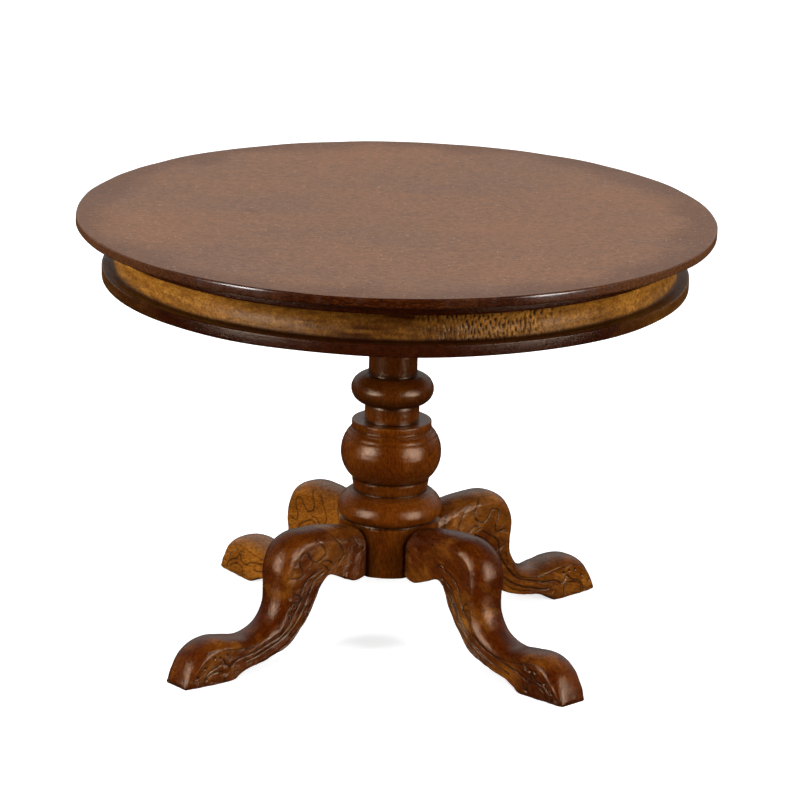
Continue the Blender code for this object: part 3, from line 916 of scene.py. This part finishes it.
def distance_to_line(out, up, line):
    """The shortest way from each point of the side plane to a smooth line through the given points."""
    path = flow_through(line, 6)
    nearest = np.full(out.shape, 1e9)
    for (ax, ay), (bx, by) in zip(path, path[1:]):
        dx, dy = bx - ax, by - ay
        share = np.clip(((out - ax) * dx + (up - ay) * dy) / (dx * dx + dy * dy + 1e-12), 0.0, 1.0)
        nearest = np.minimum(nearest, np.hypot(out - ax - share * dx, up - ay - share * dy))
    return nearest


def side_lines(plain_knee):
    """The lines on one side face, as (points, strength, half width)."""
    if not plain_knee:
        return list(CARVED_LINES.values())
    lines = [line for name, line in CARVED_LINES.items() if name not in PLAIN_KNEE_LINES]
    flute, cut, width = CARVED_LINES["inner_flute"]
    for i in range(1, FINE_FLUTE_COUNT + 1):
        gap = FINE_FLUTE_GAP * i
        beside = tuple((x - 0.8 * gap, y - 0.5 * gap) for x, y in flute[:-2])
        lines.append((beside, 1.1 * cut, 0.8 * width))
    return lines


def carving(out, up, seed, plain_knee):
    """Depth cut into a side face at each point, and how dark it is there; each side differs a little."""
    draw = np.random.default_rng(seed)
    depth = np.zeros(out.shape)
    dark = np.zeros(out.shape)
    for line, cut, width in side_lines(plain_knee):
        points = np.array(line)
        middle = points.mean(axis=0)
        points = (points - middle) * draw.uniform(0.94, 1.06) + middle + draw.normal(0.0, 0.16, 2)
        points = points + draw.normal(0.0, 0.09, points.shape)
        away = distance_to_line(out, up, points) / (width * draw.uniform(0.9, 1.15))
        depth = np.maximum(depth, CARVED_SHARE * cut * draw.uniform(0.8, 1.15) * np.exp(-(away**2)))
        dark = np.maximum(dark, np.exp(-((away / STAIN_SPREAD) ** 2)) * min(1.0, 0.25 + cut / 0.16))
    for x, y in np.array(PUNCHED_DOTS) + draw.normal(0.0, 0.12, (len(PUNCHED_DOTS), 2)):
        away = np.hypot(out - x, up - y) / DOT_RADIUS
        depth = np.maximum(depth, DOT_DEPTH * np.exp(-(away**4)))
        dark = np.maximum(dark, np.exp(-(away**4)))
    return depth, dark


def grid_normals(grid):
    """Normals of a grid whose rows close round, pointing away from the middle of each row."""
    along = np.gradient(grid, axis=0)
    across = np.roll(grid, -1, axis=1) - np.roll(grid, 1, axis=1)
    normals = np.cross(along, across)
    normals /= np.linalg.norm(normals, axis=-1)[..., None] + 1e-12
    outward = np.einsum("ijk,ijk->ij", normals, grid - grid.mean(axis=1)[:, None])
    return normals * np.where(outward.mean() < 0, -1.0, 1.0)


def leg_rows():
    """A leg's cross-sections in millimetres, in the plane of its length."""
    rows = []
    for outer, inner, width, crown in LEG_STATIONS:
        points = [(ROOT_DISTANCE + out * LEG_LENGTH, up * ROOT_TOP) for out, up in (outer, inner)]
        rows.append((*points[0], *points[1], width * LEG_WIDTH, crown))
    return rows


def leg_grid():
    """Rows of points round a leg that points along +X, before it is carved."""
    grid = []
    for row in flow_through(leg_rows(), STEPS_BETWEEN_STATIONS):
        outer, inner, (width, crown) = row[:2], row[2:4], row[4:]
        depth = np.linalg.norm(outer - inner)
        loop = section_loop(depth, crown, width)
        plane = inner + (outer - inner) * (loop[:, 0] / depth)[:, None]
        grid.append(np.stack([plane[:, 0], loop[:, 1], plane[:, 1]], axis=-1))
    grid = np.array(grid)
    middles = grid.mean(axis=1)[:, None]
    near_root = np.clip(1.0 - (grid[:, :1, :1] - grid[:1, :1, :1]) / ROOT_ROUNDING, 0.0, 1.0)
    inset = ROOT_ROUNDING * (1.0 - np.sqrt(1.0 - near_root**2))
    reach = np.linalg.norm(grid - middles, axis=-1)[..., None]
    return middles + (grid - middles) * (1.0 - 0.6 * inset / reach)


def sloping_grain(out, sideways, up):
    """Plank coordinates in a leg, whose fibres run down from root to toe."""
    slope = math.radians(LEG_GRAIN_SLOPE)
    along = out * math.cos(slope) + up * math.sin(slope)
    across = up * math.cos(slope) - out * math.sin(slope)
    return np.stack([along, sideways, across], axis=-1)


def turned_about_axis(grid, turn):
    """The points turned about the table's axis."""
    turned = grid.copy()
    turned[..., 0] = grid[..., 0] * math.cos(turn) - grid[..., 1] * math.sin(turn)
    turned[..., 1] = grid[..., 0] * math.sin(turn) + grid[..., 1] * math.cos(turn)
    return turned


def cabriole_leg(place, material, seed, tone, vigour, plain_knee):
    grid = leg_grid()
    out, sideways, up = grid[..., 0], grid[..., 1], grid[..., 2]
    half = np.abs(sideways).max(axis=1)[:, None]
    on_side = blend(0.72, 0.93, np.abs(sideways) / half)
    left = carving(out, up, seed, False)
    right = carving(out, up, seed + 1, plain_knee)
    depth = np.where(sideways > 0, left[0], right[0]) * on_side * vigour
    dark = np.where(sideways > 0, left[1], right[1]) * on_side * vigour
    gouged = blend(0.0, 1.0, 1.0 - up / 16.0) * on_side
    lift = 0.05 * ripple(grid, 6.0, seed + 2) + 0.028 * ripple(grid, 1.5, seed + 3) * on_side
    lift = lift + 0.012 * ripple(grid, 0.8, seed + 4) * gouged - depth
    from_root = out - grid[0, 0, 0]
    shaped = grid + grid_normals(grid) * (lift * blend(0.15, 0.8, from_root))[..., None]
    shaped[..., 2] = np.maximum(shaped[..., 2], 0.0)

    # Painted shade at the bottom of the feet, next to the floor.
    under = np.exp(-((up / 1.2) ** 2)) * 0.35
    # Darker near the root, where the leg meets the hub.
    at_root = np.exp(-((from_root / 1.1) ** 2)) * 0.55
    high_spots = blend(0.2, 1.2, ripple(grid, 2.8, seed + 5))
    fields = {
        "grain": sloping_grain(out, sideways, up) + 40.0 * seed,
        "tone": np.clip(tone + 0.25 * high_spots + 0.22 * ripple(grid, 8.0, seed + 6), 0.0, 1.0),
        "soot_and_shade": np.maximum(dark, np.clip(under + at_root, 0.0, 1.0)),
    }
    shaped = turned_about_axis(shaped, leg_direction(place))
    return piece_from(f"leg_{place}", shaped, fields, material)


# ---------------------------------------------------------------- pieces that keep their CAD shape


def plain_nodes(material):
    """The bearer block and the dowels keep their CAD shape, with the block's edges eased."""
    for name in ["bearer_block"] + [f"leg_dowel_{place}" for place in LEG_PLACES]:
        node = frame["nodes"][name]
        node.data.materials.clear()
        node.data.materials.append(material)
    bevel = frame["nodes"]["bearer_block"].modifiers.new("eased_edges", "BEVEL")
    bevel.width = 0.25 * MM
    bevel.segments = 3
    bevel.limit_method = "ANGLE"
    bevel.angle_limit = math.radians(30)


# ---------------------------------------------------------------- studio


def soft_box(name, azimuth, elevation, distance, size, power):
    """A rectangular lamp aimed at the table."""
    light = bpy.data.lights.new(name, "AREA")
    light.shape = "RECTANGLE"
    light.size, light.size_y = size
    light.energy = power
    lamp = bpy.data.objects.new(name, light)
    bpy.context.scene.collection.objects.link(lamp)
    turn = math.radians(azimuth + CAMERA_HEADING)
    rise = math.radians(elevation)
    aim = Matrix.Translation((0.0, 0.0, AIM_HEIGHT * MM))
    swing = Matrix.Rotation(turn, 4, "Z") @ Matrix.Rotation(math.pi / 2 - rise, 4, "X")
    lamp.matrix_world = aim @ swing @ Matrix.Translation((0.0, 0.0, distance))
    lamp.visible_glossy = name not in LAMPS_WITHOUT_GLINTS


def floor_finish():
    """Near-white paper that glows a little, so that shadows on it stay faint."""
    material = bpy.data.materials.new("paper")
    material.use_nodes = True
    shader = material.node_tree.nodes["Principled BSDF"]
    shader.inputs["Base Color"].default_value = (0.9, 0.9, 0.9, 1.0)
    shader.inputs["Roughness"].default_value = 1.0
    shader.inputs["Specular IOR Level"].default_value = 0.0
    shader.inputs["Emission Color"].default_value = (1.0, 1.0, 1.0, 1.0)
    shader.inputs["Emission Strength"].default_value = FLOOR_GLOW
    return material


def floor():
    half = FLOOR_SIZE / 2
    mesh = bpy.data.meshes.new("floor")
    corners = [(-half, -half, 0.0), (half, -half, 0.0), (half, half, 0.0), (-half, half, 0.0)]
    mesh.from_pydata(corners, [], [(0, 1, 2, 3)])
    mesh.materials.append(floor_finish())
    plane = bpy.data.objects.new("floor", mesh)
    plane.location.z = -FLOOR_DROP * MM
    bpy.context.scene.collection.objects.link(plane)
    plane.visible_glossy = False
    plane.visible_diffuse = False


def world():
    """A dim studio that is lighter behind the table than in front of it."""
    studio = bpy.data.worlds.new("studio")
    studio.use_nodes = True
    tree = studio.node_tree
    where = add(tree, "ShaderNodeTexCoord").outputs["Generated"]
    parts = add(tree, "ShaderNodeSeparateXYZ", {"Vector": where}).outputs
    behind = between(tree, parts["Y"], 0.1, 0.9)
    above = between(tree, parts["Z"], -0.02, 0.12)
    glow = between(tree, maths(tree, "MULTIPLY", behind, above), 0.0, 1.0, FRONT_GLOW, BACK_GLOW)
    background = tree.nodes["Background"]
    background.inputs["Color"].default_value = (1.0, 0.99, 0.97, 1.0)
    tree.links.new(glow, background.inputs["Strength"])
    bpy.context.scene.world = studio


def camera():
    data = bpy.data.cameras.new("camera")
    data.lens = CAMERA_LENS
    data.sensor_width = 36.0
    data.clip_end = 50.0
    eye = bpy.data.objects.new("camera", data)
    bpy.context.scene.collection.objects.link(eye)
    turn = Matrix.Rotation(math.radians(CAMERA_HEADING), 4, "Z")
    dip = Matrix.Rotation(math.radians(90.0 - CAMERA_DIP), 4, "X")
    roll = Matrix.Rotation(math.radians(CAMERA_ROLL), 4, "Z")
    eye.matrix_world = Matrix.Translation([x * MM for x in CAMERA_PLACE]) @ turn @ dip @ roll
    bpy.context.scene.camera = eye


def build():
    woods = {name: wood_finish(name) for name in WOODS}
    top_board(woods["top_wood"])
    apron_ring(woods["apron_wood"])
    pedestal_column(woods["column_wood"])
    for number, place in enumerate(LEG_PLACES):
        seed = FIRST_LEG_SEED + LEG_SEED_STEP * number
        cabriole_leg(place, woods["leg_wood"], seed, *LEG_LOOKS[place])
    plain_nodes(woods["bare_wood"])

    floor()
    world()
    for name, lamp in LAMPS.items():
        soft_box(name, *lamp)
    camera()
    bpy.context.scene.view_settings.view_transform = "Standard"


build()
